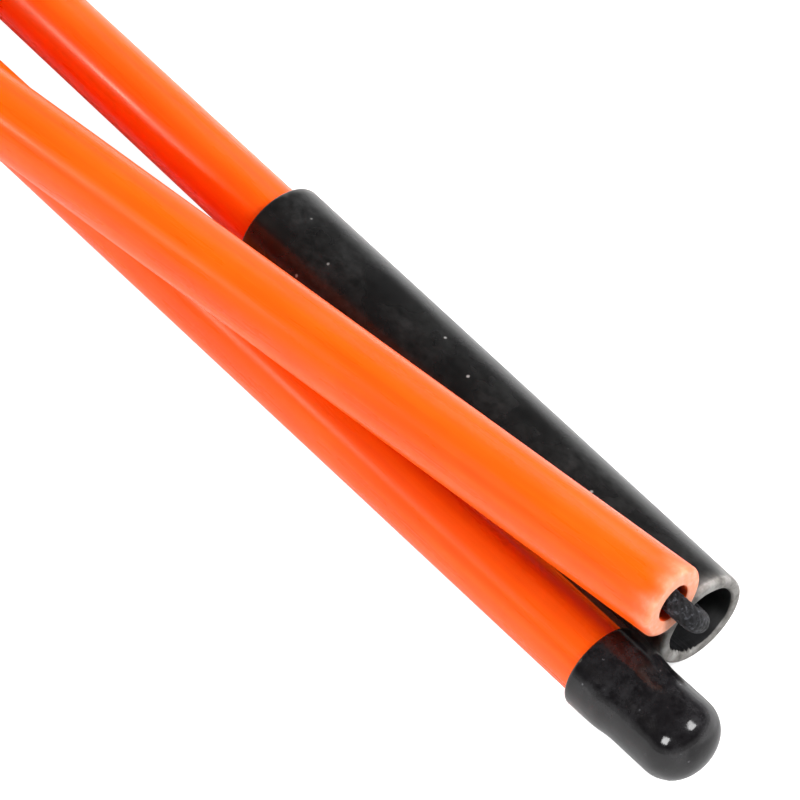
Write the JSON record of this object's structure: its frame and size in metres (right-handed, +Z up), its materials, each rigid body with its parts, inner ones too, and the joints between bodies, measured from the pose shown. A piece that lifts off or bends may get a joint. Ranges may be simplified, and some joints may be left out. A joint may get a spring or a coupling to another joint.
{
  "type": "folding alignment stick",
  "caption": "Folding golf alignment stick: orange fibre tubes strung on one elastic cord, plugging into black ferrules, with a ground tip and a soft end cap, shown folded",
  "frame": {"origin": "centre of the folded bundle's footprint, on the surface it lies on", "axes": "+X along the bundle towards the capped end and the visible ferrule mouth, +Y towards the tip section, +Z up"},
  "size_m": [0.4634, 0.0646, 0.0185],
  "materials": {
    "orange_fibre_tube": "satin pigmented resin over glass fibre",
    "black_ferrule": "satin, lightly scuffed",
    "black_end_cap": "glossy dipped vinyl",
    "black_ground_tip": "satin moulded plastic",
    "elastic_cord": "braided sheath over rubber core",
    "steel_washer": "plain stamped steel"
  },
  "bodies": {
    "end_section": {"end_section_tube": "orange_fibre_tube", "end_cap": "black_end_cap", "end_section_cord": "elastic_cord", "end_cord_washer": "steel_washer", "end_cord_knot": "elastic_cord"},
    "end_cord_leg": {"end_cord_lead": "elastic_cord"},
    "end_cord_span": {"end_cord_run": "elastic_cord"},
    "end_cord_slack": {"end_cord_bend": "elastic_cord"},
    "middle_section": {"middle_section_tube": "orange_fibre_tube", "middle_section_ferrule": "black_ferrule", "middle_section_cord": "elastic_cord", "middle_socket_cord": "elastic_cord"},
    "tip_cord_span": {"tip_cord_bend": "elastic_cord"},
    "tip_cord_leg": {"tip_cord_lead": "elastic_cord"},
    "tip_section": {"tip_section_tube": "orange_fibre_tube", "tip_section_ferrule": "black_ferrule", "ground_tip": "black_ground_tip", "tip_section_cord": "elastic_cord", "tip_cord_washer": "steel_washer", "tip_cord_knot": "elastic_cord"}
  },
  "joints": [
    {"name": "end_plug", "type": "slide", "parent": "end_section", "child": "end_cord_leg", "axis": [0.9999, 0.0137, 0.0022], "range_m": [0, 0.03943], "deforming": ["middle_socket_cord"]},
    {"name": "end_fold_inner", "type": "hinge", "parent": "end_cord_leg", "child": "end_cord_span", "pos_m": [-0.17133, 0.00779, 0.00412], "axis": [0.0026, -0.0357, -0.9994], "range_deg": [0, 51.2], "deforming": ["end_cord_lead"]},
    {"name": "end_cord_stretch", "type": "slide", "parent": "end_cord_span", "child": "end_cord_slack", "axis": [0.6159, 0.7874, -0.0265], "range_m": [0, 0.04043], "deforming": ["end_cord_run"]},
    {"name": "end_fold", "type": "hinge", "parent": "end_cord_slack", "child": "middle_section", "pos_m": [-0.20264, -0.02737, 0.00529], "axis": [0.4888, -0.8721, -0.0248], "range_deg": [0, 175.82], "deforming": ["end_cord_bend"]},
    {"name": "tip_fold", "type": "hinge", "parent": "middle_section", "child": "tip_cord_span", "pos_m": [0.22159, 0.02197, 0.01388], "axis": [0.11, -0.8589, -0.5002], "range_deg": [0, 91.5], "deforming": ["tip_cord_bend"]},
    {"name": "tip_fold_outer", "type": "hinge", "parent": "tip_cord_span", "child": "tip_cord_leg", "pos_m": [0.21894, 0.02546, 0.00796], "axis": [0, -0.8677, -0.497], "range_deg": [0, 86.29]},
    {"name": "tip_plug", "type": "slide", "parent": "tip_cord_leg", "child": "tip_section", "axis": [1, 0, 0], "range_m": [0, 0.0366], "deforming": ["tip_cord_lead"]}
  ],
  "couplings": [
    {"joint": "end_fold_inner", "follows": "end_fold", "ratio": 0.29123},
    {"joint": "end_cord_stretch", "follows": "end_fold", "m_per_rad": 0.013176},
    {"joint": "tip_fold_outer", "follows": "tip_fold", "ratio": 0.94303}
  ]
}
